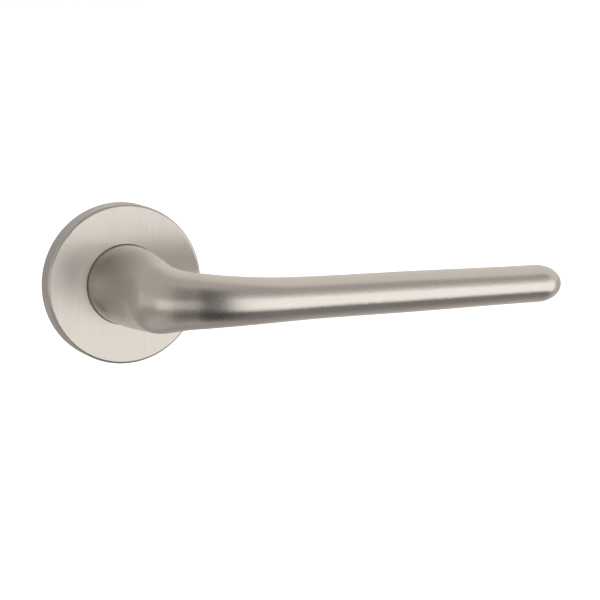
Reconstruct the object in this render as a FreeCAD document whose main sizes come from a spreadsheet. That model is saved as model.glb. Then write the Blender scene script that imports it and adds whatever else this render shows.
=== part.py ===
"""Door lever handle on a slim round rose, with its spring cassette and fixings.

Every sub-part is modelled with the door face as the XY plane: x along the grip, y up,
z out of the door towards the hand. STAND_UP then turns each one into the row's frame,
where +X is along the grip, +Y points into the door and +Z is up. Millimetres.
"""
import FreeCAD
import Part
import Sketcher
import math
import os
import re

Vector = FreeCAD.Vector
Rotation = FreeCAD.Rotation
Placement = FreeCAD.Placement

SIZES = {
    # rose
    "rose_diameter": 52.0,
    "rose_thickness": 7.2,
    "cover_wall": 0.8,
    "cover_edge_round": 1.0,
    "cover_door_gap": 0.1,
    "bead_height": 0.5,
    # lever: neck, elbow and grip
    "neck_radius": 12.9,
    "neck_length": 30.0,
    "elbow_radius": 14.5,
    "elbow_turn": 55.5,
    "sweep_radius": 48.7,
    "grip_reach": 130.7,
    "dome_length": 8.2,
    "waist_station": 12.0,
    "waist_height_loss": 0.2,
    "waist_depth_loss": 1.7,
    "elbow_start_height_loss": 1.7,
    "elbow_start_depth_loss": 3.2,
    "elbow_start_shift": 0.7,
    "elbow_height_loss": 2.5,
    "elbow_depth_loss": 2.7,
    "elbow_shift": 1.5,
    "elbow_end_height_loss": 3.95,
    "elbow_end_depth_loss": 4.2,
    "elbow_end_shift": 0.5,
    "grip_root_height": 6.9,
    "grip_root_depth": 7.6,
    "grip_middle_height": 6.45,
    "grip_middle_depth": 7.6,
    "grip_end_height": 6.0,
    "grip_end_depth": 7.4,
    # journal, spindle and grub screw
    "journal_radius": 8.0,
    "journal_flat_depth": 1.0,
    "journal_end": 1.1,
    "spindle_square": 8.0,
    "spindle_chamfer": 0.6,
    "spindle_in_lever": 28.0,
    "spindle_out_of_rose": 45.0,
    "socket_clearance": 0.05,
    "grub_radius": 3.0,
    "grub_length": 8.0,
    "grub_height": 18.0,
    "grub_key": 3.0,
    "grub_key_depth": 3.0,
    # base plate
    "base_gap": 0.8,
    "base_edge": 0.5,
    "bush_seat_depth": 0.7,
    "web": 1.2,
    # bush and neck ring
    "bush_wall": 1.25,
    "bush_gap": 0.2,
    "bush_flange": 0.8,
    "bush_flange_width": 3.2,
    "ring_sleeve": 0.25,
    "ring_flange": 0.9,
    "ring_flange_width": 1.95,
    "ring_recess": 0.35,
    # spring driver and return spring
    "driver_gap": 0.1,
    "driver_plate": 1.1,
    "tab_offset": 2.3,
    "tab_wall": 1.0,
    "tab_width": 18.0,
    "tab_angle": 112.5,
    "stop_play": 0.5,
    "lever_travel": 45.0,
    "spring_core_wall": 1.0,
    "wire_diameter": 1.2,
    "coil_gap": 0.25,
    "coil_room": 0.85,
    "coil_slack": 0.02,
    "coil_end_angle": 30.0,
    "spring_hook_length": 1.5,
    "spring_leg_length": 1.2,
    # washers and retaining ring
    "thrust_thickness": 0.5,
    "washer_width": 3.2,
    "wave_thickness": 0.3,
    "wave_bow": 0.35,
    "clip_thickness": 1.0,
    "clip_groove": 0.4,
    "clip_stand_out": 1.9,
    "clip_gap_angle": 50.0,
    "clip_ear_radius": 1.8,
    "clip_ear_offset": 0.2,
    "clip_ear_hole": 0.8,
    # back plate and its screws
    "back_plate": 0.8,
    "plate_sink": 0.1,
    "plate_rest": 0.3,
    "ear_radius": 2.6,
    "ear_offset": 2.0,
    "plate_screw_radius": 1.2,
    "plate_screw_head": 2.0,
    "plate_screw_length": 4.0,
    "plate_screw_slot": 0.5,
    "plate_screw_slot_depth": 0.6,
    # cover ring
    "ring_wire": 1.2,
    "ring_stand_out": 0.5,
    "cover_ring_gap_angle": 34.0,
    "cover_ring_height": 2.1,
    # fixings
    "fixing_centres": 38.0,
    "post_radius": 3.5,
    "post_seat_radius": 3.6,
    "post_reach": 7.5,
    "post_collar_radius": 4.1,
    "post_collar": 1.2,
    "post_thread_radius": 1.65,
    "post_thread_depth": 11.0,
    "wood_screw_radius": 1.75,
    "wood_screw_head": 3.4,
    "wood_screw_reach": 13.0,
    "wood_screw_point": 4.0,
    "wood_screw_slot": 0.8,
    "wood_screw_slot_depth": 1.6,
    # clearances
    "running_fit": 0.06,
    "fixed_fit": 0.05,
    "loose_fit": 0.15,
}

STAND_UP = Rotation(Vector(1, 0, 0), 90)

doc = FreeCAD.newDocument("DoorLeverHandle")
sheet = doc.addObject("Spreadsheet::Sheet", "Sizes")
for row, (alias, amount) in enumerate(SIZES.items(), start=1):
    sheet.set("A%d" % row, alias)
    sheet.set("B%d" % row, str(amount))
    sheet.setAlias("B%d" % row, alias)
doc.recompute()

sub_parts = []


# Expressions and sizes

def on_sheet(expression):
    """The expression with each size's name pointing at its cell in the sheet."""
    return re.sub(r"[a-z][a-z_]*", lambda m: "Sizes." + m[0] if m[0] in SIZES else m[0], str(expression))


def size(expression):
    """The number that an expression of sizes gives now, in millimetres or degrees."""
    return float(sheet.evalExpression(on_sheet(expression)))


def bind(target, **expressions):
    """Bind properties to the sheet. Double underscores stand for the dots of a property path."""
    for path, expression in expressions.items():
        target.setExpression(path.replace("__", "."), on_sheet(expression))


def minus(expression):
    return "-(%s)" % expression


# PartDesign helpers

def new_body(name):
    return doc.addObject("PartDesign::Body", name + "_body")


def finish(thing, name, turn=None, x="0", y="0"):
    """Name a sub-part, stand it up in the row's frame and list it for export."""
    thing.Label = name
    thing.Placement = Placement(Vector(0, 0, 0), STAND_UP.multiply(turn or Rotation()))
    if (x, y) != ("0", "0"):
        bind(thing, Placement__Base__x=x, Placement__Base__z=y)
    sub_parts.append(thing)
    return thing


def attach(body, name, plane, height="0", angle=None):
    """A new sketch on one of the body's origin planes, turned about z and then moved along its normal."""
    sketch = body.newObject("Sketcher::SketchObject", name)
    base = next(f for f in body.Origin.OriginFeatures if f.Role == plane)
    sketch.AttachmentSupport = [(base, "")]
    sketch.MapMode = "FlatFace"
    if angle is not None:
        axis = Vector(0, 0, 1) if plane == "XY_Plane" else Vector(0, 1, 0)
        sketch.AttachmentOffset = Placement(Vector(0, 0, 0), Rotation(axis, size(angle)))
        bind(sketch, AttachmentOffset__Rotation__Angle=angle)
    if height != "0" and angle is not None and plane == "YZ_Plane":
        bind(sketch, AttachmentOffset__Base__x="(%s) * sin(%s)" % (height, angle),
             AttachmentOffset__Base__z="(%s) * cos(%s)" % (height, angle))
    elif height != "0":
        bind(sketch, AttachmentOffset__Base__z=height)
    return sketch


def outline(body, name, plane, points, height="0", angle=None):
    """A closed outline of straight runs whose corners are bound to the sheet."""
    sketch = attach(body, name, plane, height, angle)
    corners = [Vector(size(across), size(along), 0) for across, along in points]
    count = len(corners)
    for i in range(count):
        sketch.addGeometry(Part.LineSegment(corners[i], corners[(i + 1) % count]), False)
    for i in range(count):
        sketch.addConstraint(Sketcher.Constraint("Coincident", i, 2, (i + 1) % count, 1))
    for i, pair in enumerate(points):
        for kind, other_axis, expression in (("DistanceX", -2, pair[0]), ("DistanceY", -1, pair[1])):
            if expression == "0":
                sketch.addConstraint(Sketcher.Constraint("PointOnObject", i, 1, other_axis))
                continue
            number = sketch.addConstraint(Sketcher.Constraint(kind, -1, 1, i, 1, size(expression)))
            bind(sketch, **{"Constraints[%d]" % number: expression})
    return sketch


def circles(body, name, entries, height="0", plane="XY_Plane", angle=None):
    """A sketch of circles, each an (x, y, radius) of expressions."""
    sketch = attach(body, name, plane, height, angle)
    for i, (x, y, radius) in enumerate(entries):
        centre = Vector(size(x), size(y), 0)
        sketch.addGeometry(Part.Circle(centre, Vector(0, 0, 1), size(radius)), False)
        number = sketch.addConstraint(Sketcher.Constraint("Radius", i, size(radius)))
        bind(sketch, **{"Constraints[%d]" % number: radius})
        for kind, other_axis, expression in (("DistanceX", -2, x), ("DistanceY", -1, y)):
            if expression == "0":
                sketch.addConstraint(Sketcher.Constraint("PointOnObject", i, 3, other_axis))
                continue
            number = sketch.addConstraint(Sketcher.Constraint(kind, -1, 1, i, 3, size(expression)))
            bind(sketch, **{"Constraints[%d]" % number: expression})
    return sketch


def feature(body, kind, name, sketch, **expressions):
    made = body.newObject("PartDesign::" + kind, name)
    made.Profile = sketch
    bind(made, **expressions)
    sketch.Visibility = False
    return made


def revolve(body, name, points, kind="Revolution"):
    """Turn an outline of (radius, height) corners about the body's own z axis."""
    sketch = outline(body, name + "_outline", "XZ_Plane", points)
    made = feature(body, kind, name, sketch)
    made.ReferenceAxis = (sketch, ["V_Axis"])
    made.Angle = 360
    doc.recompute()
    return made


def pad(body, name, sketch, length):
    return feature(body, "Pad", name, sketch, Length=length)


def pocket(body, name, sketch, length):
    """Cut from the sketch's plane back towards the door, or outwards when reversed."""
    made = feature(body, "Pocket", name, sketch, Length=length)
    doc.recompute()
    return made


def pocket_outwards(body, name, sketch, length):
    made = feature(body, "Pocket", name, sketch, Length=length)
    made.Reversed = True
    doc.recompute()
    return made


def rim_edges(shape, radius, height):
    """The names of the circular edges of one radius at one height."""
    names = []
    for number, edge in enumerate(shape.Edges, start=1):
        curve = edge.Curve
        if not hasattr(curve, "Radius"):
            continue
        if abs(curve.Radius - radius) < 0.001 and abs(edge.CenterOfMass.z - height) < 0.001:
            names.append("Edge%d" % number)
    return names


def dress(body, kind, name, base, radius, height, amount):
    """Round or chamfer the circular edges of one radius at one height."""
    doc.recompute()
    made = body.newObject("PartDesign::" + kind, name)
    made.Base = (base, rim_edges(base.Shape, size(radius), size(height)))
    bind(made, **{"Radius" if kind == "Fillet" else "Size": amount})
    doc.recompute()
    return made


# Part workbench helpers

def cylinder(name, radius, low, high, angle="360", start=None, x="0", y="0"):
    made = doc.addObject("Part::Cylinder", name)
    if start is not None:
        made.Placement = Placement(Vector(0, 0, 0), Rotation(Vector(0, 0, 1), size(start)))
        bind(made, Placement__Rotation__Angle=start)
    bind(made, Radius=radius, Height="(%s) - (%s)" % (high, low), Angle=angle, Placement__Base__z=low)
    if (x, y) != ("0", "0"):
        bind(made, Placement__Base__x=x, Placement__Base__y=y)
    return made


def box(name, x_low, x_high, y_low, y_high, z_low, z_high):
    made = doc.addObject("Part::Box", name)
    bind(made, Length="(%s) - (%s)" % (x_high, x_low), Width="(%s) - (%s)" % (y_high, y_low),
         Height="(%s) - (%s)" % (z_high, z_low), Placement__Base__x=x_low, Placement__Base__y=y_low,
         Placement__Base__z=z_low)
    return made


def cut(name, base, *tools):
    for i, tool in enumerate(tools):
        made = doc.addObject("Part::Cut", "%s_%d" % (name, i))
        made.Base = base
        made.Tool = tool
        base = made
    return base


def fuse(name, *pieces):
    made = doc.addObject("Part::MultiFuse", name)
    made.Shapes = list(pieces)
    made.Refine = True
    return made


def common(name, *pieces):
    made = doc.addObject("Part::MultiCommon", name)
    made.Shapes = list(pieces)
    return made


# Heights along the stack, out from the door face

COVER_INSIDE = "(rose_thickness - cover_wall)"
BASE_TOP = "(%s - ring_flange)" % COVER_INSIDE
BUSH_SEAT = "(%s - bush_seat_depth)" % BASE_TOP
SHOULDER = "(%s + bush_flange)" % BUSH_SEAT
WEB_LOW = "(%s - web)" % BUSH_SEAT
PLATE_HIGH = "(plate_sink + back_plate)"
DRIVER_LOW = "(%s + driver_gap)" % PLATE_HIGH
DRIVER_HIGH = "(%s + driver_plate)" % DRIVER_LOW
BUSH_LOW = "(%s + bush_gap)" % DRIVER_HIGH
COIL_LOW = "(%s + wire_diameter / 2)" % DRIVER_LOW
COIL_TURNS = "(2 + coil_end_angle / 360)"
COIL_PITCH = "(wire_diameter + coil_slack)"
COIL_HIGH = "(%s + %s * %s)" % (COIL_LOW, COIL_PITCH, COIL_TURNS)
THRUST_LOW = "(plate_sink - thrust_thickness)"
CLIP_HIGH = "(%s - wave_thickness - wave_bow - fixed_fit)" % THRUST_LOW
CLIP_LOW = "(%s - clip_thickness)" % CLIP_HIGH
JOURNAL_LOW = "(%s - journal_end)" % CLIP_LOW

# Radii, from the journal outwards

GROOVE_RADIUS = "(journal_radius - clip_groove)"
CLIP_RADIUS = "(journal_radius + clip_stand_out)"
WASHER_BORE = "(journal_radius + loose_fit)"
WASHER_RADIUS = "(journal_radius + washer_width)"
PLATE_BORE = "(journal_radius + 2 * loose_fit)"
BUSH_FLANGE_RADIUS = "(journal_radius + bush_flange_width)"
TAB_INNER = "(journal_radius + tab_offset)"
TAB_OUTER = "(%s + tab_wall)" % TAB_INNER
SPRING_HOOK = "(%s - spring_hook_length)" % TAB_OUTER
SPRING_CORE = "(%s + spring_core_wall)" % TAB_OUTER
COIL_RADIUS = "(%s + coil_gap + wire_diameter / 2)" % SPRING_CORE
POCKET_RADIUS = "(%s + wire_diameter / 2 + coil_room)" % COIL_RADIUS
PLATE_RADIUS = "(%s + plate_rest)" % POCKET_RADIUS
EAR_CIRCLE = "(%s + ear_offset)" % PLATE_RADIUS
COVER_HOLE = "(neck_radius + running_fit + ring_sleeve + fixed_fit / 2)"
BASE_RADIUS = "(rose_diameter / 2 - cover_wall - base_gap)"
COVER_RING_RADIUS = "(%s + ring_stand_out - ring_wire / 2)" % BASE_RADIUS
HALF_CENTRES = "fixing_centres / 2"


# The lever

def centreline(distance):
    """Point and direction of the lever's middle line at a distance along it from the rose's face."""
    neck = size("neck_length")
    tight, wide = size("elbow_radius"), size("sweep_radius")
    turn = math.radians(size("elbow_turn"))
    out = size("rose_thickness")
    elbow_end = neck + tight * turn
    grip_start = elbow_end + wide * (math.pi / 2 - turn)
    elbow_x = tight * (1 - math.cos(turn))
    elbow_z = out + neck + tight * math.sin(turn)
    if distance <= neck:
        return Vector(0, 0, out + distance), 0.0
    if distance <= elbow_end:
        angle = (distance - neck) / tight
        return Vector(tight * (1 - math.cos(angle)), 0, out + neck + tight * math.sin(angle)), angle
    angle = min(turn + (distance - elbow_end) / wide, math.pi / 2)
    x = elbow_x + wide * (math.cos(turn) - math.cos(angle)) + max(distance - grip_start, 0)
    return Vector(x, 0, elbow_z + wide * (math.sin(angle) - math.sin(turn))), angle


def stations():
    """Distances along the lever at which its height and depth are set."""
    neck = size("neck_length")
    turn = math.radians(size("elbow_turn"))
    elbow_end = neck + size("elbow_radius") * turn
    grip_start = elbow_end + size("sweep_radius") * (math.pi / 2 - turn)
    grip_end = grip_start + size("grip_reach - dome_length") - centreline(grip_start)[0].x
    return [0, size("waist_station"), neck, (neck + elbow_end) / 2, elbow_end, grip_start,
            (grip_start + grip_end) / 2, grip_end]


def smooth(places, values, place):
    """A curve through the values at the places, level at both ends."""
    last = len(places) - 1
    i = max([k for k in range(last) if places[k] <= place] or [0])
    slopes = [0.0] * (last + 1)
    for k in range(1, last):
        slopes[k] = (values[k + 1] - values[k - 1]) / (places[k + 1] - places[k - 1])
    span = places[i + 1] - places[i]
    q = (place - places[i]) / span
    value = (2 * q**3 - 3 * q**2 + 1) * values[i] + (3 * q**2 - 2 * q**3) * values[i + 1]
    return value + span * ((q**3 - 2 * q**2 + q) * slopes[i] + (q**3 - q**2) * slopes[i + 1])


def lever_section(distance, depth, height, shift):
    """An oval across the middle line, shifted towards the outside of the bend."""
    stretch = FreeCAD.Matrix()
    stretch.scale(depth, height, 1)
    quarter = math.pi / 2
    arcs = [Part.Circle().toShape(k * quarter, (k + 1) * quarter) for k in range(4)]
    oval = Part.Wire(arcs).transformGeometry(stretch)
    point, angle = centreline(distance)
    turn = Rotation(Vector(0, 1, 0), math.degrees(angle))
    oval.Placement = Placement(point + turn.multVec(Vector(-shift, 0, 0)), turn)
    return oval


def lever_form():
    """Neck, elbow and grip as one loft of even sections, closed by a domed end."""
    places = stations()
    heights = [size("neck_radius")]
    depths = [size("neck_radius")]
    for part in ("waist", "elbow_start", "elbow", "elbow_end"):
        heights.append(size("neck_radius - %s_height_loss" % part))
        depths.append(size("neck_radius - %s_depth_loss" % part))
    for part in ("grip_root", "grip_middle", "grip_end"):
        heights.append(size(part + "_height"))
        depths.append(size(part + "_depth"))
    shifts = [0.0, 0.0, size("elbow_start_shift"), size("elbow_shift"), size("elbow_end_shift")]
    shifts += [0.0] * (len(places) - len(shifts))
    count = 40
    sections = []
    for k in range(count + 1):
        place = places[-1] * k / count
        across = [smooth(places, values, place) for values in (depths, heights, shifts)]
        sections.append(lever_section(place, *across))
    neck_and_grip = Part.makeLoft(sections, True, False)
    collar = Part.makeCylinder(size("neck_radius"), size("rose_thickness - %s" % SHOULDER),
                               Vector(0, 0, size(SHOULDER)))
    stretch = FreeCAD.Matrix()
    stretch.scale(depths[-1], heights[-1], size("dome_length"))
    dome = Part.makeSphere(1, Vector(0, 0, 0), Vector(0, 0, 1), 0, 90).transformGeometry(stretch)
    dome.Placement = Placement(centreline(places[-1])[0], Rotation(Vector(0, 1, 0), 90))
    return collar.fuse([neck_and_grip, dome])


def lever_handle():
    """The cast lever with its journal, square socket, grub screw hole and ring groove."""
    form = doc.addObject("Part::Feature", "LeverForm")
    form.Shape = lever_form()
    journal = cylinder("Journal", "journal_radius", JOURNAL_LOW, SHOULDER + " + 1")
    whole = fuse("LeverBlank", form, journal)
    flats = "(journal_radius - journal_flat_depth)"
    past_end = JOURNAL_LOW + " - 1"
    groove_low = CLIP_LOW + " - fixed_fit"
    groove_high = CLIP_HIGH + " + fixed_fit"
    tools = [
        box("Socket", "-spindle_square / 2 - socket_clearance", "spindle_square / 2 + socket_clearance",
            "-spindle_square / 2 - socket_clearance", "spindle_square / 2 + socket_clearance",
            past_end, "spindle_in_lever + 2"),
        cut("GrooveRing",
            cylinder("GrooveOuter", "journal_radius + 1", groove_low, groove_high),
            cylinder("GrooveInner", GROOVE_RADIUS, groove_low + " - 1", groove_high + " + 1")),
        box("FlatTop", "-journal_radius - 1", "journal_radius + 1", flats,
            "journal_radius + 1", past_end, DRIVER_HIGH + " + fixed_fit"),
        box("FlatBottom", "-journal_radius - 1", "journal_radius + 1", "-journal_radius - 1",
            minus(flats), past_end, DRIVER_HIGH + " + fixed_fit"),
        grub_hole(),
    ]
    return finish(cut("LeverCut", whole, *tools), "lever_handle")


def grub_hole():
    """The tapped hole from the socket down to the underside of the neck."""
    hole = doc.addObject("Part::Cylinder", "GrubHole")
    hole.Placement = Placement(Vector(0, 0, 0), Rotation(Vector(1, 0, 0), 90))
    bind(hole, Radius="grub_radius", Height="2 * neck_radius", Placement__Base__z="grub_height")
    return hole


def spindle():
    """The square bar, chamfered at both ends."""
    body = new_body("Spindle")
    half = "spindle_square / 2"
    corners = [(minus(half), minus(half)), (half, minus(half)), (half, half), (minus(half), half)]
    sketch = outline(body, "SpindleSquare", "XY_Plane", corners, minus("spindle_out_of_rose"))
    bar = pad(body, "SpindleBar", sketch, "spindle_out_of_rose + spindle_in_lever")
    doc.recompute()
    ends = []
    for number, edge in enumerate(bar.Shape.Edges, start=1):
        low, high = edge.BoundBox.ZMin, edge.BoundBox.ZMax
        if high - low < 0.01:
            ends.append("Edge%d" % number)
    chamfer = body.newObject("PartDesign::Chamfer", "SpindleEnds")
    chamfer.Base = (bar, ends)
    bind(chamfer, Size="spindle_chamfer")
    return finish(body, "spindle")


def grub_screw():
    """The hexagon socket screw that bears on the spindle from below."""
    body = new_body("GrubScrew")
    inner = "grub_radius - fixed_fit"
    revolve(body, "GrubShank", [("0", "0"), ("%s - 0.8" % inner, "0"), (inner, "0.8"),
                                (inner, "grub_length - 0.4"), ("%s - 0.4" % inner, "grub_length"),
                                ("0", "grub_length")])
    across = "grub_key / sqrt(3)"
    corners = []
    for k in range(6):
        corners.append(("%s * cos(%d)" % (across, 60 * k + 30), "%s * sin(%d)" % (across, 60 * k + 30)))
    key = outline(body, "GrubKeyOutline", "XY_Plane", corners, "grub_length")
    pocket(body, "GrubKey", key, "grub_key_depth")
    body.Label = "grub_screw"
    body.Placement = Placement(Vector(0, 0, 0), STAND_UP.multiply(Rotation(Vector(1, 0, 0), 90)))
    bind(body, Placement__Base__y=minus("grub_height"),
         Placement__Base__z="-spindle_square / 2 - socket_clearance / 2")
    sub_parts.append(body)
    return body


# The rose

def rosette_cover():
    """The pressed cap with a rounded edge and an inward bead behind the snap ring."""
    body = new_body("Cover")
    outer = "rose_diameter / 2"
    inner = "rose_diameter / 2 - cover_wall"
    bead = "%s - bead_height" % inner
    bead_high = "cover_ring_height - ring_wire / 2 - 0.15"
    shell = revolve(body, "CoverShell", [
        (COVER_HOLE, "rose_thickness"), (outer, "rose_thickness"), (outer, "cover_door_gap"),
        (inner, "cover_door_gap"), (inner, "%s - 1" % bead_high), (bead, "%s - 0.5" % bead_high),
        (bead, "%s - 0.3" % bead_high), (inner, bead_high), (inner, COVER_INSIDE),
        (COVER_HOLE, COVER_INSIDE)])
    dress(body, "Fillet", "CoverEdge", shell, outer, "rose_thickness", "cover_edge_round")
    return finish(body, "rosette_cover")


def neck_ring():
    """The dark liner of the cover's hole, flanged behind the cover."""
    body = new_body("NeckRing")
    bore = "neck_radius + running_fit"
    sleeve = COVER_HOLE + " - fixed_fit / 2"
    flange = COVER_HOLE + " + ring_flange_width"
    revolve(body, "NeckRingForm", [
        (bore, BASE_TOP), (flange, BASE_TOP), (flange, COVER_INSIDE), (sleeve, COVER_INSIDE),
        (sleeve, "rose_thickness - ring_recess"), (bore, "rose_thickness - ring_recess")])
    return finish(body, "neck_ring")


def base_plate():
    """The die-cast sub-rose: bearing web, spring pocket, ring groove and fixing holes."""
    body = new_body("BasePlate")
    web_bore = "journal_radius + running_fit + bush_wall + fixed_fit"
    seat = BUSH_FLANGE_RADIUS + " + loose_fit"
    ring_low = "cover_ring_height - ring_wire / 2 - fixed_fit"
    ring_high = "cover_ring_height + ring_wire / 2 + fixed_fit"
    groove = "%s - ring_wire / 2 - fixed_fit" % COVER_RING_RADIUS
    recess = PLATE_RADIUS + " + loose_fit"
    disc = revolve(body, "BaseDisc", [
        (web_bore, WEB_LOW), (web_bore, BUSH_SEAT), (seat, BUSH_SEAT), (seat, BASE_TOP),
        (BASE_RADIUS, BASE_TOP), (BASE_RADIUS, ring_high), (groove, ring_high),
        (groove, ring_low), (BASE_RADIUS, ring_low), (BASE_RADIUS, "0"), (recess, "0"),
        (recess, PLATE_HIGH), (POCKET_RADIUS, PLATE_HIGH), (POCKET_RADIUS, BUSH_SEAT),
        (SPRING_CORE, BUSH_SEAT), (SPRING_CORE, WEB_LOW)])
    dress(body, "Chamfer", "BaseEdge", disc, BASE_RADIUS, BASE_TOP, "base_edge")
    centres = [(HALF_CENTRES, "0"), (minus(HALF_CENTRES), "0")]
    post_holes = circles(body, "PostHoles", [(x, y, "post_seat_radius + fixed_fit") for x, y in centres])
    pocket_outwards(body, "PostHoleCut", post_holes, BASE_TOP)
    collars = circles(body, "PostCollars", [(x, y, "post_collar_radius + fixed_fit") for x, y in centres],
                      BASE_TOP)
    pocket(body, "PostCollarCut", collars, "post_collar")
    screw_hole = "wood_screw_radius + loose_fit"
    screws = circles(body, "WoodScrewHoles", [(y, x, screw_hole) for x, y in centres])
    holes = pocket_outwards(body, "WoodScrewCut", screws, BASE_TOP)
    dress(body, "Chamfer", "WoodScrewSinks", holes, screw_hole, BASE_TOP,
          "wood_screw_head - wood_screw_radius")
    ears = [(x, y, "ear_radius + loose_fit") for x, y in ear_places()]
    pocket_outwards(body, "EarRecess", circles(body, "EarRecesses", ears), PLATE_HIGH)
    taps = [(x, y, "plate_screw_radius + fixed_fit") for x, y in ear_places()]
    pocket_outwards(body, "ScrewTaps", circles(body, "ScrewTapCircles", taps), BUSH_SEAT)
    driver_slot(body)
    spring_slot(body)
    return finish(body, "base_plate")


def ear_places():
    """Where the back plate's four ears and screws sit, between the fixings."""
    across = "%s * sqrt(0.5)" % EAR_CIRCLE
    return [(a, b) for a in (across, minus(across)) for b in (across, minus(across))]


def driver_slot(body):
    """The curved slot in the web whose two ends stop the driver's tab."""
    start = "tab_angle - tab_width / 2 - lever_travel - stop_play"
    inner = TAB_INNER + " - loose_fit"
    outer = TAB_OUTER + " + loose_fit"
    low = WEB_LOW + " - 0.5"
    high = BUSH_SEAT + " + 0.5"
    corners = [(inner, low), (outer, low), (outer, high), (inner, high)]
    sketch = outline(body, "DriverSlotOutline", "XZ_Plane", corners, angle=start)
    slot = feature(body, "Groove", "DriverSlot", sketch, Angle="tab_width + lever_travel + 2 * stop_play")
    slot.ReferenceAxis = (sketch, ["V_Axis"])
    doc.recompute()
    return slot


def spring_slot(body):
    """The notch in the pocket's wall that holds the spring's fixed leg."""
    half = "wire_diameter / 2 + loose_fit"
    inner = POCKET_RADIUS + " - 0.5"
    outer = POCKET_RADIUS + " + spring_leg_length + loose_fit"
    corners = [(inner, minus(half)), (outer, minus(half)), (outer, half), (inner, half)]
    low = "(%s - wire_diameter / 2 - loose_fit)" % COIL_HIGH
    sketch = outline(body, "SpringSlotOutline", "XY_Plane", corners, low, "coil_end_angle")
    return pocket_outwards(body, "SpringSlot", sketch, "%s - %s" % (BUSH_SEAT, low))


def bearing_bush():
    """The flanged nylon bush that the journal turns in and the neck's shoulder rests on."""
    body = new_body("Bush")
    bore = "journal_radius + running_fit"
    sleeve = "journal_radius + running_fit + bush_wall"
    revolve(body, "BushForm", [
        (bore, BUSH_LOW), (sleeve, BUSH_LOW), (sleeve, BUSH_SEAT),
        (BUSH_FLANGE_RADIUS, BUSH_SEAT), (BUSH_FLANGE_RADIUS, SHOULDER), (bore, SHOULDER)])
    return finish(body, "bearing_bush")


# The spring cassette

def spring_driver():
    """The plate keyed to the journal's flats, with its stop tab and the notch for the spring."""
    tab_high = BUSH_SEAT + " - loose_fit"
    below = DRIVER_LOW + " - 1"
    disc = cylinder("DriverDisc", TAB_OUTER, DRIVER_LOW, DRIVER_HIGH)
    tab = cut("DriverTab",
              cylinder("TabOuter", TAB_OUTER, DRIVER_LOW, tab_high, "tab_width", "tab_angle - tab_width / 2"),
              cylinder("TabInner", TAB_INNER, below, tab_high + " + 1"))
    flats = "(journal_radius - journal_flat_depth + running_fit)"
    keyed_bore = common("KeyedBore",
                        cylinder("DriverBore", "journal_radius + running_fit", below, tab_high),
                        box("DriverFlats", "-journal_radius - 1", "journal_radius + 1", minus(flats), flats,
                            below, tab_high))
    half = "wire_diameter / 2 + loose_fit"
    notch = box("SpringNotch", SPRING_HOOK + " - loose_fit", TAB_OUTER + " + 1", minus(half), half,
                below, tab_high)
    return finish(cut("DriverCut", fuse("DriverBlank", disc, tab), keyed_bore, notch), "spring_driver")


def return_spring():
    """The torsion coil: its inner leg is in the driver's notch, its outer leg in the pocket's wall."""
    body = new_body("Spring")
    wire = "wire_diameter / 2"
    section = circles(body, "CoilSection", [(COIL_RADIUS, COIL_LOW, wire)], plane="XZ_Plane")
    coil = body.newObject("PartDesign::AdditiveHelix", "Coil")
    coil.Profile = section
    coil.ReferenceAxis = (section, ["V_Axis"])
    coil.Mode = 1
    bind(coil, Pitch=COIL_PITCH, Turns=COIL_TURNS)
    doc.recompute()
    leg_wire = "wire_diameter / 2 - 0.02"
    hook = circles(body, "InnerLegSection", [("0", COIL_LOW, leg_wire)], SPRING_HOOK, "YZ_Plane")
    pad(body, "InnerLeg", hook, "%s - %s" % (COIL_RADIUS, SPRING_HOOK))
    leg = circles(body, "OuterLegSection", [("0", COIL_HIGH, leg_wire)], COIL_RADIUS, "YZ_Plane",
                  "coil_end_angle")
    pad(body, "OuterLeg", leg, "%s + spring_leg_length - %s" % (POCKET_RADIUS, COIL_RADIUS))
    return finish(body, "return_spring")


def thrust_washer():
    """The flat washer that runs against the back plate."""
    body = new_body("ThrustWasher")
    revolve(body, "ThrustForm", [(WASHER_BORE, THRUST_LOW), (WASHER_RADIUS, THRUST_LOW),
                                 (WASHER_RADIUS, "plate_sink"), (WASHER_BORE, "plate_sink")])
    return finish(body, "thrust_washer")


def spring_washer():
    """The bowed washer: a ring cut from a thin shell whose crown touches the thrust washer."""
    bow_radius = "(%s ^ 2 / (2 * wave_bow))" % WASHER_RADIUS
    shell = []
    for name, radius in (("BowOuter", bow_radius), ("BowInner", bow_radius + " - wave_thickness")):
        drum = doc.addObject("Part::Cylinder", name)
        drum.Placement = Placement(Vector(0, 0, 0), Rotation(Vector(0, 1, 0), 90))
        bind(drum, Radius=radius, Height="2 * %s + 2" % WASHER_RADIUS,
             Placement__Base__x="-%s - 1" % WASHER_RADIUS,
             Placement__Base__z="%s - %s" % (THRUST_LOW, bow_radius))
        shell.append(drum)
    ring = cut("BowRing", cylinder("BowRim", WASHER_RADIUS, JOURNAL_LOW, "0"),
               cylinder("BowBore", WASHER_BORE, JOURNAL_LOW + " - 1", "1"))
    return finish(common("BowedWasher", ring, cut("BowShell", *shell)), "spring_washer")


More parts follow.
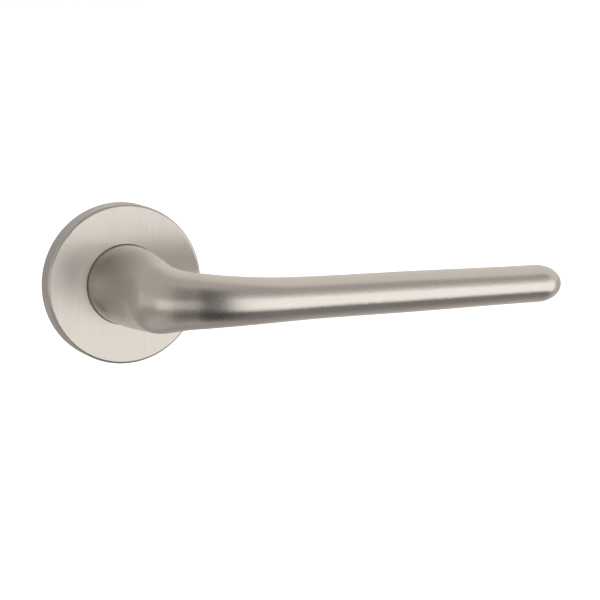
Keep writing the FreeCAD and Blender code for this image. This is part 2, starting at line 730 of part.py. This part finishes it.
def retaining_ring():
    """The circlip in the journal's groove, with two eared ends below."""
    ring = cut("ClipRing",
               cylinder("ClipOuter", CLIP_RADIUS, CLIP_LOW, CLIP_HIGH, "360 - clip_gap_angle",
                        "clip_gap_angle / 2 - 90"),
               cylinder("ClipInner", GROOVE_RADIUS + " + running_fit", CLIP_LOW + " - 1",
                        CLIP_HIGH + " + 1"))
    reach = "(%s + clip_ear_offset)" % CLIP_RADIUS
    ears = []
    holes = []
    for side, label in ((1, "Right"), (-1, "Left")):
        x = "%d * %s * sin(clip_gap_angle / 2)" % (side, reach)
        y = "-%s * cos(clip_gap_angle / 2)" % reach
        ears.append(cylinder("ClipEar" + label, "clip_ear_radius", CLIP_LOW, CLIP_HIGH, x=x, y=y))
        holes.append(cylinder("ClipHole" + label, "clip_ear_hole", CLIP_LOW + " - 1", CLIP_HIGH + " + 1",
                              x=x, y=y))
    return finish(cut("ClipCut", fuse("ClipBlank", ring, *ears), *holes), "retaining_ring")


def back_plate():
    """The steel plate that closes the spring pocket, with four countersunk ears."""
    body = new_body("BackPlate")
    rims = [("0", "0", PLATE_RADIUS), ("0", "0", PLATE_BORE)]
    disc = circles(body, "PlateCircles", rims, "plate_sink")
    pad(body, "PlateDisc", disc, "back_plate")
    ears = circles(body, "EarCircles", [(x, y, "ear_radius") for x, y in ear_places()], "plate_sink")
    pad(body, "PlateEars", ears, "back_plate")
    hole = "plate_screw_radius + 2 * fixed_fit"
    taps = circles(body, "PlateHoleCircles", [(x, y, hole) for x, y in ear_places()], "plate_sink")
    holes = pocket_outwards(body, "PlateHoles", taps, "back_plate")
    dress(body, "Chamfer", "PlateSinks", holes, hole, "plate_sink", "back_plate - fixed_fit")
    return finish(body, "back_plate")


def cover_ring():
    """The open snap ring in the base plate's groove that the cover clips over."""
    ring = doc.addObject("Part::Torus", "CoverRing")
    bind(ring, Radius1=COVER_RING_RADIUS, Radius2="ring_wire / 2", Angle3="360 - cover_ring_gap_angle")
    turned = doc.addObject("Part::MultiCommon", "CoverRingTurned")
    turned.Shapes = [ring, cylinder("CoverRingZone", BASE_RADIUS + " + 2", "-ring_wire", "ring_wire")]
    finish(turned, "cover_ring", Rotation(Vector(0, 0, 1), 90 + size("cover_ring_gap_angle") / 2))
    bind(turned, Placement__Base__y=minus("cover_ring_height"))
    return turned


# Fixings

def cross_recess(body, name, arm, width, depth, height, outwards):
    """A cross-shaped drive cut into a screw's head."""
    half = "%s / 2" % width
    quarter = [(arm, half), (half, half), (half, arm)]
    corners = []
    for turn in range(4):
        for x, y in quarter:
            for _ in range(turn):
                x, y = minus(y), x
            corners.append((x, y))
    sketch = outline(body, name + "Outline", "XY_Plane", corners, height)
    return (pocket_outwards if outwards else pocket)(body, name, sketch, depth)


def back_plate_screw(number, x, y):
    """One countersunk screw from behind, through an ear into the base plate."""
    body = new_body("PlateScrew%d" % number)
    revolve(body, "PlateScrewForm%d" % number, [
        ("0", "plate_sink"), ("plate_screw_head", "plate_sink"),
        ("plate_screw_radius", "plate_sink + plate_screw_head - plate_screw_radius"),
        ("plate_screw_radius", "plate_screw_length"), ("0", "plate_screw_length")])
    cross_recess(body, "PlateScrewCross%d" % number, "plate_screw_head * 0.6", "plate_screw_slot",
                 "plate_screw_slot_depth", "plate_sink", True)
    return finish(body, "back_plate_screw_%d" % number, x=x, y=y)


def fixing_post(side, x):
    """A tapped post with a collar in the front of the base plate, reaching into the door."""
    body = new_body("Post" + side.capitalize())
    end = minus("post_reach")
    collar_low = BASE_TOP + " - post_collar"
    bottom = "post_thread_depth - post_reach"
    revolve(body, "PostForm" + side.capitalize(), [
        ("post_thread_radius", end), ("post_radius - 0.3", end), ("post_radius", "0.3 - post_reach"),
        ("post_radius", "0"), ("post_seat_radius", "0"), ("post_seat_radius", collar_low),
        ("post_collar_radius", collar_low),
        ("post_collar_radius", BASE_TOP), ("0", BASE_TOP), ("0", bottom),
        ("post_thread_radius", bottom)])
    return finish(body, "fixing_post_" + side, x=x)


def wood_screw(side, y):
    """A countersunk wood screw through the base plate, above or below the neck."""
    body = new_body("WoodScrew" + side.capitalize())
    end = minus("wood_screw_reach")
    revolve(body, "WoodScrewForm" + side.capitalize(), [
        ("0", end), ("wood_screw_radius", "wood_screw_point - wood_screw_reach"),
        ("wood_screw_radius", BASE_TOP + " - wood_screw_head + wood_screw_radius"),
        ("wood_screw_head", BASE_TOP), ("0", BASE_TOP)])
    cross_recess(body, "WoodScrewCross" + side.capitalize(), "wood_screw_head * 0.6", "wood_screw_slot",
                 "wood_screw_slot_depth", BASE_TOP, False)
    return finish(body, "wood_screw_" + side, y=y)


def build():
    lever_handle()
    spindle()
    grub_screw()
    rosette_cover()
    neck_ring()
    base_plate()
    bearing_bush()
    spring_driver()
    return_spring()
    thrust_washer()
    spring_washer()
    retaining_ring()
    back_plate()
    cover_ring()
    for number, (x, y) in enumerate(ear_places(), start=1):
        back_plate_screw(number, x, y)
    fixing_post("left", minus(HALF_CENTRES))
    fixing_post("right", HALF_CENTRES)
    wood_screw("top", HALF_CENTRES)
    wood_screw("bottom", minus(HALF_CENTRES))


def check():
    """Stop if any object failed to rebuild or any sub-part has no sound shape."""
    doc.recompute()
    for thing in doc.Objects:
        if "Invalid" in thing.State or "Error" in thing.State:
            raise RuntimeError("%s did not rebuild: %s" % (thing.Name, thing.State))
    for part in sub_parts:
        if part.Shape.isNull() or not part.Shape.isValid():
            raise RuntimeError("%s has no sound shape" % part.Label)


def export():
    os.makedirs("parts", exist_ok=True)
    for part in sub_parts:
        part.Shape.exportStep("parts/%s.step" % part.Label)


build()
check()
export()
for part in sub_parts:
    extent = part.Shape.optimalBoundingBox()
    print("%-20s %8.1f mm3, x %.1f to %.1f, y %.1f to %.1f, z %.1f to %.1f" % (
        part.Label, part.Shape.Volume, extent.XMin, extent.XMax, extent.YMin, extent.YMax,
        extent.ZMin, extent.ZMax))
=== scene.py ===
"""Door lever handle: a satin nickel lever on a slim round rose, with the fixings behind it."""
import bpy
import math
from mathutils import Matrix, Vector


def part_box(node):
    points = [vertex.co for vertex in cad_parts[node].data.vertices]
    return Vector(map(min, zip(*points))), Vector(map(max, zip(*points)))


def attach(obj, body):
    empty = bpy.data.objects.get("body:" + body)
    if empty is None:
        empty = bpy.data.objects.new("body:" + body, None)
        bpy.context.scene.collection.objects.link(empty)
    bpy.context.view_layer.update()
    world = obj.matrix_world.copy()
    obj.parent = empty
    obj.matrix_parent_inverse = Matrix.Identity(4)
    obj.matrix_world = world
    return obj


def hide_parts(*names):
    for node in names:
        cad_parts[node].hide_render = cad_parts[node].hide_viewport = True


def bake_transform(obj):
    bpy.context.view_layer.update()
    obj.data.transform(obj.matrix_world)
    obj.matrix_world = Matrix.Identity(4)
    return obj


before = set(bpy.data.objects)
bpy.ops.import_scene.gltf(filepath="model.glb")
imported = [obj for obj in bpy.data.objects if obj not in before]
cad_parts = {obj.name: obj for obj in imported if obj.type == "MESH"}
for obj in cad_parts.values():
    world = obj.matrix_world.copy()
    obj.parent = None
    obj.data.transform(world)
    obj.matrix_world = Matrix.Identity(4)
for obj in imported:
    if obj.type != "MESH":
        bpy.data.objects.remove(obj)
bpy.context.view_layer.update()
MM = 0.001

# Sizes in millimetres that a node's box doesn't give
SCREW_CREST = 1.75
SCREW_CORE = 1.22
SCREW_PITCH = 1.6
SCREW_TURNS = 8
SCREW_THREAD_START = -1.2
SCREW_POINT = 4.0
SCREW_POINT_TAPER = -0.93
POST_RADIUS = 3.5
POST_SEAT_RADIUS = 3.6
POST_COLLAR = 1.5
POST_BORE = 1.65
POST_THREAD_ROOT = 1.98
POST_THREAD_PITCH = 0.7
POST_THREAD_TURNS = 14
POST_THREAD_DEPTH = 11.0


# Finishes

def new_material(name):
    material = bpy.data.materials.new(name)
    material.use_nodes = True
    nodes = material.node_tree.nodes
    nodes.clear()
    output = nodes.new("ShaderNodeOutputMaterial")
    shader = nodes.new("ShaderNodeBsdfPrincipled")
    material.node_tree.links.new(shader.outputs["BSDF"], output.inputs["Surface"])
    return material, shader


def link(material, source, target):
    material.node_tree.links.new(source, target)


def place(material, scale):
    """Object coordinates stretched by three factors, in features per metre."""
    nodes = material.node_tree.nodes
    coordinates = nodes.new("ShaderNodeTexCoord")
    mapping = nodes.new("ShaderNodeMapping")
    mapping.inputs["Scale"].default_value = scale
    link(material, coordinates.outputs["Object"], mapping.inputs["Vector"])
    return mapping.outputs["Vector"]


def noise(material, vector, detail=2.0, roughness=0.5):
    texture = material.node_tree.nodes.new("ShaderNodeTexNoise")
    texture.inputs["Scale"].default_value = 1.0
    texture.inputs["Detail"].default_value = detail
    texture.inputs["Roughness"].default_value = roughness
    link(material, vector, texture.inputs["Vector"])
    return texture.outputs["Fac"]


def ramp(material, factor, low, high, start=0.0, end=1.0):
    """A factor turned into a colour or a value between two ends."""
    node = material.node_tree.nodes.new("ShaderNodeMapRange")
    node.inputs["From Min"].default_value = start
    node.inputs["From Max"].default_value = end
    node.inputs["To Min"].default_value = low
    node.inputs["To Max"].default_value = high
    link(material, factor, node.inputs["Value"])
    return node.outputs["Result"]


def tint(material, factor, dark, light):
    mix = material.node_tree.nodes.new("ShaderNodeMix")
    mix.data_type = "RGBA"
    mix.inputs["A"].default_value = (*dark, 1)
    mix.inputs["B"].default_value = (*light, 1)
    link(material, factor, mix.inputs["Factor"])
    return mix.outputs["Result"]


def bump(material, shader, height, strength, distance):
    node = material.node_tree.nodes.new("ShaderNodeBump")
    node.inputs["Strength"].default_value = strength
    node.inputs["Distance"].default_value = distance
    link(material, height, node.inputs["Height"])
    link(material, node.outputs["Normal"], shader.inputs["Normal"])


def worn_edges(material, radius):
    """One along sharp edges, nothing on the flats between them."""
    nodes = material.node_tree.nodes
    rounded = nodes.new("ShaderNodeBevel")
    rounded.samples = 6
    rounded.inputs["Radius"].default_value = radius
    compare = nodes.new("ShaderNodeVectorMath")
    compare.operation = "DOT_PRODUCT"
    link(material, rounded.outputs["Normal"], compare.inputs[0])
    link(material, nodes.new("ShaderNodeNewGeometry").outputs["Normal"], compare.inputs[1])
    return ramp(material, compare.outputs["Value"], 1.0, 0.0, 0.90, 0.995)


def worn_bright(material, colour, bright, radius):
    """A colour that is rubbed bright along the edges."""
    mix = material.node_tree.nodes.new("ShaderNodeMix")
    mix.data_type = "RGBA"
    mix.inputs["B"].default_value = (*bright, 1)
    link(material, worn_edges(material, radius), mix.inputs["Factor"])
    link(material, colour, mix.inputs["A"])
    return mix.outputs["Result"]


def satin_nickel():
    """The lever's finish: a fine blasted grain under satin plating."""
    material, shader = new_material("satin_nickel")
    shader.inputs["Metallic"].default_value = 1.0
    grain = noise(material, place(material, (5200, 5200, 5200)), 2.0)
    patches = noise(material, place(material, (60, 60, 60)), 2.0)
    nickel = tint(material, patches, (0.625, 0.578, 0.530), (0.650, 0.603, 0.555))
    link(material, nickel, shader.inputs["Base Color"])
    link(material, ramp(material, grain, 0.262, 0.276, 0.3, 0.7), shader.inputs["Roughness"])
    bump(material, shader, grain, 0.014, 0.00003)
    return material


def brushed_nickel():
    """The cover's finish: fine upright brush lines on the face, a smoother turned edge."""
    material, shader = new_material("brushed_nickel")
    shader.inputs["Metallic"].default_value = 1.0
    lines = noise(material, place(material, (4200, 4200, 40)), 4.0, 0.6)
    broad = noise(material, place(material, (500, 500, 10)), 2.0)
    depth = material.node_tree.nodes.new("ShaderNodeSeparateXYZ")
    link(material, place(material, (1000, 1000, 1000)), depth.inputs[0])
    edge = ramp(material, depth.outputs["Y"], 0.0, 1.0, -7.15, -6.9)
    nickel = tint(material, broad, (0.574, 0.538, 0.494), (0.594, 0.558, 0.514))
    link(material, nickel, shader.inputs["Base Color"])
    brushed = ramp(material, lines, 0.27, 0.37, 0.3, 0.7)
    shader.inputs["Anisotropic"].default_value = 0.7
    across = material.node_tree.nodes.new("ShaderNodeTangent")
    across.direction_type = "RADIAL"
    across.axis = "Z"
    link(material, across.outputs["Tangent"], shader.inputs["Tangent"])
    mix = material.node_tree.nodes.new("ShaderNodeMix")
    mix.inputs["B"].default_value = 0.20
    link(material, edge, mix.inputs["Factor"])
    link(material, brushed, mix.inputs["A"])
    link(material, mix.outputs["Result"], shader.inputs["Roughness"])
    bump(material, shader, lines, 0.22, 0.00003)
    return material


def plated_steel(name, colour, bright, roughness, grain_scale=(900, 900, 900)):
    """Plated or oiled steel: a fine grain, cloudy patches, and a brighter worn line along the edges."""
    material, shader = new_material(name)
    shader.inputs["Metallic"].default_value = 1.0
    grain = noise(material, place(material, grain_scale), 3.0)
    clouds = noise(material, place(material, (140, 140, 140)), 3.0)
    plating = tint(material, clouds, tuple(0.84 * c for c in colour), colour)
    link(material, worn_bright(material, plating, bright, 0.12 * MM), shader.inputs["Base Color"])
    dull = ramp(material, grain, roughness - 0.07, roughness + 0.08, 0.3, 0.7)
    link(material, dull, shader.inputs["Roughness"])
    bump(material, shader, grain, 0.2, 0.00004)
    return material


def cast_zinc():
    """Die-cast zinc: a slightly lumpy skin with a dull sheen, rubbed bright on its edges."""
    material, shader = new_material("cast_zinc")
    shader.inputs["Metallic"].default_value = 0.9
    skin = noise(material, place(material, (1400, 1400, 1400)), 4.0, 0.6)
    flow = noise(material, place(material, (90, 90, 160)), 3.0)
    zinc = tint(material, flow, (0.36, 0.37, 0.38), (0.47, 0.48, 0.49))
    link(material, worn_bright(material, zinc, (0.66, 0.66, 0.66), 0.15 * MM), shader.inputs["Base Color"])
    link(material, ramp(material, skin, 0.38, 0.58, 0.3, 0.7), shader.inputs["Roughness"])
    bump(material, shader, skin, 0.45, 0.00006)
    return material


def nylon(name, colour):
    material, shader = new_material(name)
    grain = noise(material, place(material, (1500, 1500, 1500)), 2.0)
    darker = tuple(0.8 * c for c in colour)
    link(material, tint(material, grain, darker, colour), shader.inputs["Base Color"])
    link(material, ramp(material, grain, 0.42, 0.55), shader.inputs["Roughness"])
    bump(material, shader, grain, 0.1, 0.00003)
    return material


def dress(material, *names):
    """Give CAD nodes a finish."""
    for name in names:
        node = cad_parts[name]
        for slot in node.material_slots:
            slot.material = material


# Pieces made here, each along an upright line and then laid along the neck's line

def begin():
    bpy.ops.object.select_all(action="DESELECT")


def pick(piece):
    """Select one piece and make it the active one."""
    begin()
    piece.select_set(True)
    bpy.context.view_layer.objects.active = piece


def select_where(piece, rule):
    """Select the corners of an open mesh whose places pass a rule."""
    bpy.ops.object.mode_set(mode="EDIT")
    bpy.ops.mesh.select_mode(type="VERT")
    bpy.ops.object.mode_set(mode="OBJECT")
    mesh = piece.data
    for face in mesh.polygons:
        face.select = False
    for edge in mesh.edges:
        edge.select = False
    for corner in mesh.vertices:
        corner.select = rule(corner.co)
    bpy.ops.object.mode_set(mode="EDIT")


def turned(name, profile, sides=48):
    """A closed turned solid from steps of radius and height, in millimetres, the first and last both ends."""
    begin()
    radius, height = profile[0]
    bpy.ops.mesh.primitive_circle_add(
        vertices=sides, radius=radius * MM, fill_type="NGON", location=(0, 0, height * MM))
    piece = bpy.context.object
    piece.name = name
    bpy.ops.object.transform_apply(location=True, rotation=True, scale=True)
    bpy.ops.object.mode_set(mode="EDIT")
    bpy.ops.mesh.select_mode(type="FACE")
    bpy.ops.mesh.select_all(action="SELECT")
    for next_radius, next_height in profile[1:]:
        bpy.ops.mesh.extrude_region_move(
            TRANSFORM_OT_translate={"value": (0, 0, (next_height - height) * MM)})
        spread = next_radius / radius
        bpy.ops.transform.resize(value=(spread, spread, 1), center_override=(0, 0, 0))
        radius, height = next_radius, next_height
    bpy.ops.mesh.select_all(action="SELECT")
    bpy.ops.mesh.normals_make_consistent(inside=False)
    bpy.ops.object.mode_set(mode="OBJECT")
    return piece


def thread(name, root, crest, pitch, low, turns, steps=28):
    """A helical ridge between a root and a crest radius, starting at a height."""
    begin()
    bpy.ops.mesh.primitive_plane_add(size=1.0)
    ridge = bpy.context.object
    ridge.name = name
    ridge.rotation_euler = (math.pi / 2, 0, 0)
    ridge.scale = (abs(crest - root) * MM, 0.86 * pitch * MM, 1)
    ridge.location = ((root + crest) / 2 * MM, 0, low * MM)
    bpy.ops.object.transform_apply(location=True, rotation=True, scale=True)
    middle = (root + crest) / 2 * MM
    select_where(ridge, lambda place: (place.x > middle) == (crest > root))
    bpy.ops.transform.resize(value=(1, 1, 0.14), center_override=(0, 0, low * MM))
    bpy.ops.mesh.select_all(action="SELECT")
    bpy.ops.mesh.delete(type="ONLY_FACE")
    bpy.ops.object.mode_set(mode="OBJECT")
    winding = ridge.modifiers.new("winding", "SCREW")
    winding.angle = 2 * math.pi
    winding.screw_offset = pitch * MM
    winding.iterations = turns
    winding.steps = winding.render_steps = steps
    bpy.ops.object.modifier_apply(modifier="winding")
    bpy.ops.object.mode_set(mode="EDIT")
    bpy.ops.mesh.select_all(action="SELECT")
    bpy.ops.mesh.remove_doubles(threshold=1e-7)
    bpy.ops.mesh.select_mode(type="EDGE")
    bpy.ops.mesh.select_all(action="DESELECT")
    bpy.ops.mesh.select_non_manifold()
    bpy.ops.mesh.fill_holes(sides=0)
    bpy.ops.mesh.select_all(action="SELECT")
    bpy.ops.mesh.normals_make_consistent(inside=False)
    bpy.ops.object.mode_set(mode="OBJECT")
    return ridge


def cross_drive(piece, top, reach, width, depth):
    """Cut a cross-shaped drive, narrowing as it goes in, into the top of a screw's head."""
    for along, across in ((reach, width), (width, reach)):
        begin()
        bpy.ops.mesh.primitive_cube_add(size=1.0)
        cutter = bpy.context.object
        cutter.scale = (2 * along * MM, 2 * across * MM, 2 * depth * MM)
        cutter.location = (0, 0, top * MM)
        bpy.ops.object.transform_apply(location=True, rotation=True, scale=True)
        inner = top * MM + math.copysign(depth * MM, -top)
        select_where(cutter, lambda place: abs(place.z - inner) < 1e-6)
        bpy.ops.transform.resize(value=(0.55, 0.55, 1), center_override=(0, 0, 0))
        bpy.ops.object.mode_set(mode="OBJECT")
        pick(piece)
        cut = piece.modifiers.new("cut", "BOOLEAN")
        cut.operation = "DIFFERENCE"
        cut.solver = "EXACT"
        cut.object = cutter
        bpy.ops.object.modifier_apply(modifier="cut")
        bpy.data.objects.remove(cutter)


def join(piece, *others):
    begin()
    for other in (piece, *others):
        other.select_set(True)
    bpy.context.view_layer.objects.active = piece
    bpy.ops.object.join()


def move_along(piece, distance):
    pick(piece)
    bpy.ops.object.mode_set(mode="EDIT")
    bpy.ops.mesh.select_all(action="SELECT")
    bpy.ops.transform.translate(value=(0, 0, distance * MM))
    bpy.ops.object.mode_set(mode="OBJECT")


def lay(piece, x, z, material, angle=30):
    """Turn a finished piece so that it points backwards into the door, and put it on its own line."""
    pick(piece)
    piece.rotation_euler = (-math.pi / 2, 0, 0)
    piece.location = (x, 0, z)
    bpy.ops.object.transform_apply(location=True, rotation=True, scale=True)
    bpy.ops.object.shade_smooth_by_angle(angle=math.radians(angle))
    piece.data.materials.clear()
    piece.data.materials.append(material)


def extent(node):
    """A turned node's line, its ends along the neck and its largest radius, in metres and millimetres."""
    low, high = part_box(node)
    x, z = (low[0] + high[0]) / 2, (low[2] + high[2]) / 2
    return x, z, low[1] / MM, high[1] / MM, (high[0] - low[0]) / 2 / MM


def wood_screw(node, material):
    """A countersunk wood screw with a cross drive, a plain neck, and a thread that runs out at its point."""
    x, z, head, tip, head_radius = extent(node)
    point = tip - SCREW_POINT
    screw = turned(node + "_threaded", [
        (head_radius, head), (SCREW_CREST, head + head_radius - SCREW_CREST),
        (SCREW_CREST, SCREW_THREAD_START - 0.7), (SCREW_CORE, SCREW_THREAD_START - 0.1),
        (SCREW_CORE, point), (SCREW_CORE, point + SCREW_POINT / 2), (SCREW_CORE, tip)])
    cross_drive(screw, head, 2.0, 0.42, 1.5)
    ridge = thread("ridge", SCREW_CORE - 0.15, SCREW_CREST, SCREW_PITCH, SCREW_THREAD_START, SCREW_TURNS)
    join(screw, ridge)
    move_along(screw, -point)
    heights = [corner.co.z for corner in screw.data.vertices]
    taper = screw.modifiers.new("point", "SIMPLE_DEFORM")
    taper.deform_method = "TAPER"
    taper.deform_axis = "Z"
    taper.factor = SCREW_POINT_TAPER
    taper.limits = (-min(heights) / (max(heights) - min(heights)), 1.0)
    bpy.ops.object.modifier_apply(modifier="point")
    move_along(screw, point)
    lay(screw, x, z, material)
    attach(screw, "rose")
    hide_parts(node)


def fixing_post(node, material):
    """A bolt-through post with a collar, chamfered ends and a real thread in its bore."""
    x, z, front, end, radius = extent(node)
    collar_back = front + POST_COLLAR
    post = turned(node + "_tapped", [
        (radius - 0.15, front), (radius, front + 0.15), (radius, collar_back),
        (POST_SEAT_RADIUS, collar_back), (POST_SEAT_RADIUS, 0.0), (POST_RADIUS, 0.0),
        (POST_RADIUS, end - 0.4), (POST_RADIUS - 0.4, end),
        (POST_THREAD_ROOT + 0.3, end), (POST_THREAD_ROOT, end - 0.3),
        (POST_THREAD_ROOT, end - POST_THREAD_DEPTH)], 64)
    ridge = thread("ridge", POST_THREAD_ROOT + 0.12, POST_BORE, POST_THREAD_PITCH,
                   end - POST_THREAD_DEPTH + 0.6, POST_THREAD_TURNS)
    join(post, ridge)
    lay(post, x, z, material)
    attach(post, "rose")
    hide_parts(node)


def winding_spring(material):
    """The coil: a merged, smoothed copy of the CAD spring's mesh with the oiled finish, shown in place of the
    CAD node.
    """
    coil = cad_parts["return_spring"]
    spring = bpy.data.objects.new("return_spring_coil", coil.data.copy())
    bpy.context.scene.collection.objects.link(spring)
    pick(spring)
    bpy.ops.mesh.customdata_custom_splitnormals_clear()
    bpy.ops.object.mode_set(mode="EDIT")
    bpy.ops.mesh.select_all(action="SELECT")
    bpy.ops.mesh.remove_doubles(threshold=1e-6)
    bpy.ops.object.mode_set(mode="OBJECT")
    bpy.ops.object.shade_smooth_by_angle(angle=math.radians(40))
    spring.data.materials.clear()
    spring.data.materials.append(material)
    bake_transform(spring)
    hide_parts("return_spring")


# Studio

CAMERA_TARGET = Vector((51.37, -30.0, -5.0)) * MM
CAMERA_DISTANCE = 749.25 * MM
CAMERA_TURN = math.radians(23.41)
CAMERA_RISE = math.radians(8.52)
CAMERA_LENS = 139.45


def camera():
    data = bpy.data.cameras.new("camera")
    data.lens = CAMERA_LENS
    data.sensor_width = 36.0
    data.clip_start = 0.05
    data.clip_end = 100.0
    eye = bpy.data.objects.new("camera", data)
    bpy.context.scene.collection.objects.link(eye)
    back = Vector((-math.sin(CAMERA_TURN) * math.cos(CAMERA_RISE),
                   -math.cos(CAMERA_TURN) * math.cos(CAMERA_RISE), math.sin(CAMERA_RISE)))
    eye.location = CAMERA_TARGET + CAMERA_DISTANCE * back
    eye.rotation_mode = "QUATERNION"
    eye.rotation_quaternion = (-back).to_track_quat("-Z", "Y")
    bpy.context.scene.camera = eye


class Studio:
    """Soft panels of light round the object, each filling a range of turns and rises as seen from it."""

    def __init__(self, room):
        world = bpy.data.worlds.new("studio")
        world.use_nodes = True
        bpy.context.scene.world = world
        self.tree = world.node_tree
        self.tree.nodes.clear()
        spread = self.new("ShaderNodeSeparateXYZ")
        self.link(self.new("ShaderNodeTexCoord").outputs["Generated"], spread.inputs[0])
        x, y, z = spread.outputs
        towards = self.math("MULTIPLY", y, -1.0)
        self.turn = self.math("MULTIPLY", self.math("ARCTAN2", x, towards), 180 / math.pi)
        self.rise = self.math("MULTIPLY", self.math("ARCSINE", z, 0.0), 180 / math.pi)
        base = self.new("ShaderNodeRGB").outputs[0]
        base.default_value = (*room, 1)
        self.light = base

    def new(self, kind):
        return self.tree.nodes.new(kind)

    def link(self, a, b):
        self.tree.links.new(a, b)

    def math(self, operation, a, b):
        node = self.new("ShaderNodeMath")
        node.operation = operation
        for socket, value in zip(node.inputs, (a, b)):
            if isinstance(value, (int, float)):
                socket.default_value = value
            else:
                self.link(value, socket)
        return node.outputs[0]

    def step(self, value, place, soft):
        """Rising smoothly from nothing to one across a place."""
        node = self.new("ShaderNodeMapRange")
        node.interpolation_type = "SMOOTHSTEP"
        node.inputs["From Min"].default_value = place - soft
        node.inputs["From Max"].default_value = place + soft
        self.link(value, node.inputs["Value"])
        return node.outputs["Result"]

    def window(self, value, low, high, soft):
        return self.math("MULTIPLY", self.step(value, low, soft), self.math(
            "SUBTRACT", 1.0, self.step(value, high, soft)))

    def panel(self, turns, rises, colour, soft=(5, 5)):
        across = self.window(self.turn, *turns, soft[0])
        up = self.window(self.rise, *rises, soft[1])
        mask = self.math("MULTIPLY", across, up)
        mix = self.new("ShaderNodeMix")
        mix.data_type = "RGBA"
        self.link(mask, mix.inputs["Factor"])
        self.link(self.light, mix.inputs["A"])
        mix.inputs["B"].default_value = (*colour, 1)
        self.light = mix.outputs["Result"]

    def close(self, seen):
        """Light the object with the panels, on a plain background."""
        lit = self.new("ShaderNodeBackground")
        self.link(self.light, lit.inputs["Color"])
        plain = self.new("ShaderNodeBackground")
        plain.inputs["Color"].default_value = (*seen, 1)
        mix = self.new("ShaderNodeMixShader")
        self.link(self.new("ShaderNodeLightPath").outputs["Is Camera Ray"], mix.inputs["Fac"])
        self.link(lit.outputs["Background"], mix.inputs[1])
        self.link(plain.outputs["Background"], mix.inputs[2])
        self.link(mix.outputs["Shader"], self.new("ShaderNodeOutputWorld").inputs["Surface"])


def warm(level, warmth=0.04):
    return (level, level * (1 - warmth), level * (1 - 2 * warmth))


def studio():
    light = Studio(room=warm(0.56))
    light.panel((75, 166), (8, 78), warm(0.84), (12, 12))
    light.panel((90, 162), (-48, 8), warm(0.64), (12, 8))
    light.panel((156, 200), (-48, 8), warm(0.38), (8, 8))
    light.panel((75, 200), (-95, -48), warm(0.42), (14, 8))
    light.panel((-200, -130), (-16, 16), warm(0.44), (6, 6))
    light.panel((-126, -55), (-14, 16), warm(0.68), (8, 6))
    light.panel((-200, -50), (-45, -18), warm(0.42), (10, 8))
    light.panel((-42, 78), (-95, -40), warm(0.13, 0.0), (7, 6))
    light.panel((8, 100), (-95, -50), warm(0.27, 0.0), (20, 8))
    light.panel((-14, 72), (42, 72), warm(0.47, 0.01), (10, 8))
    light.panel((-12, 74), (-38, 34), warm(0.80, 0.01), (8, 9))
    light.panel((-12, 72), (-36, 20), warm(1.40, 0.005), (5, 7))
    light.panel((-34, -13), (-95, 60), warm(0.04, 0.0), (4, 12))
    light.panel((-60, -32), (-24, 9), warm(1.02, 0.03), (4, 6))
    light.panel((-34, -9), (-95, -28), warm(0.03, 0.0), (4, 5))
    light.close(seen=(1.0, 1.0, 1.0))


def floor():
    bpy.ops.object.select_all(action="DESELECT")
    bpy.ops.mesh.primitive_plane_add(size=60.0, location=(0, 0, -0.6))
    ground = bpy.context.object
    ground.name = "floor"
    material, shader = new_material("floor_white")
    shader.inputs["Base Color"].default_value = (0.85, 0.85, 0.85, 1)
    shader.inputs["Roughness"].default_value = 0.9
    shader.inputs["Emission Color"].default_value = (1, 1, 1, 1)
    shader.inputs["Emission Strength"].default_value = 0.75
    ground.data.materials.append(material)
    ground.visible_glossy = False


# The finishes of the pieces

dress(satin_nickel(), "lever_handle")
dress(brushed_nickel(), "rosette_cover")
dress(nylon("grey_nylon", (0.56, 0.52, 0.47)), "neck_ring")
dress(nylon("white_nylon", (0.80, 0.79, 0.75)), "bearing_bush")
zinc_plate = plated_steel("zinc_plate", (0.62, 0.62, 0.60), (0.78, 0.77, 0.74), 0.34)
screw_zinc = plated_steel("screw_zinc", (0.66, 0.62, 0.52), (0.80, 0.78, 0.72), 0.28)
dress(zinc_plate, "back_plate", "thrust_washer", "spring_driver")
dress(plated_steel("drawn_bar", (0.60, 0.60, 0.59), (0.78, 0.77, 0.75), 0.30, (2600, 60, 2600)), "spindle")
black_oiled_steel = plated_steel("black_oiled_steel", (0.10, 0.095, 0.09), (0.30, 0.29, 0.28), 0.38)
dress(black_oiled_steel, "retaining_ring", "spring_washer", "cover_ring", "grub_screw")
dress(screw_zinc, *["back_plate_screw_%d" % n for n in range(1, 5)])
dress(cast_zinc(), "base_plate")

for side in ("top", "bottom"):
    wood_screw("wood_screw_" + side, screw_zinc)
for side in ("left", "right"):
    fixing_post("fixing_post_" + side, zinc_plate)
winding_spring(black_oiled_steel)

camera()
studio()
floor()
bpy.context.scene.view_settings.view_transform = "Standard"
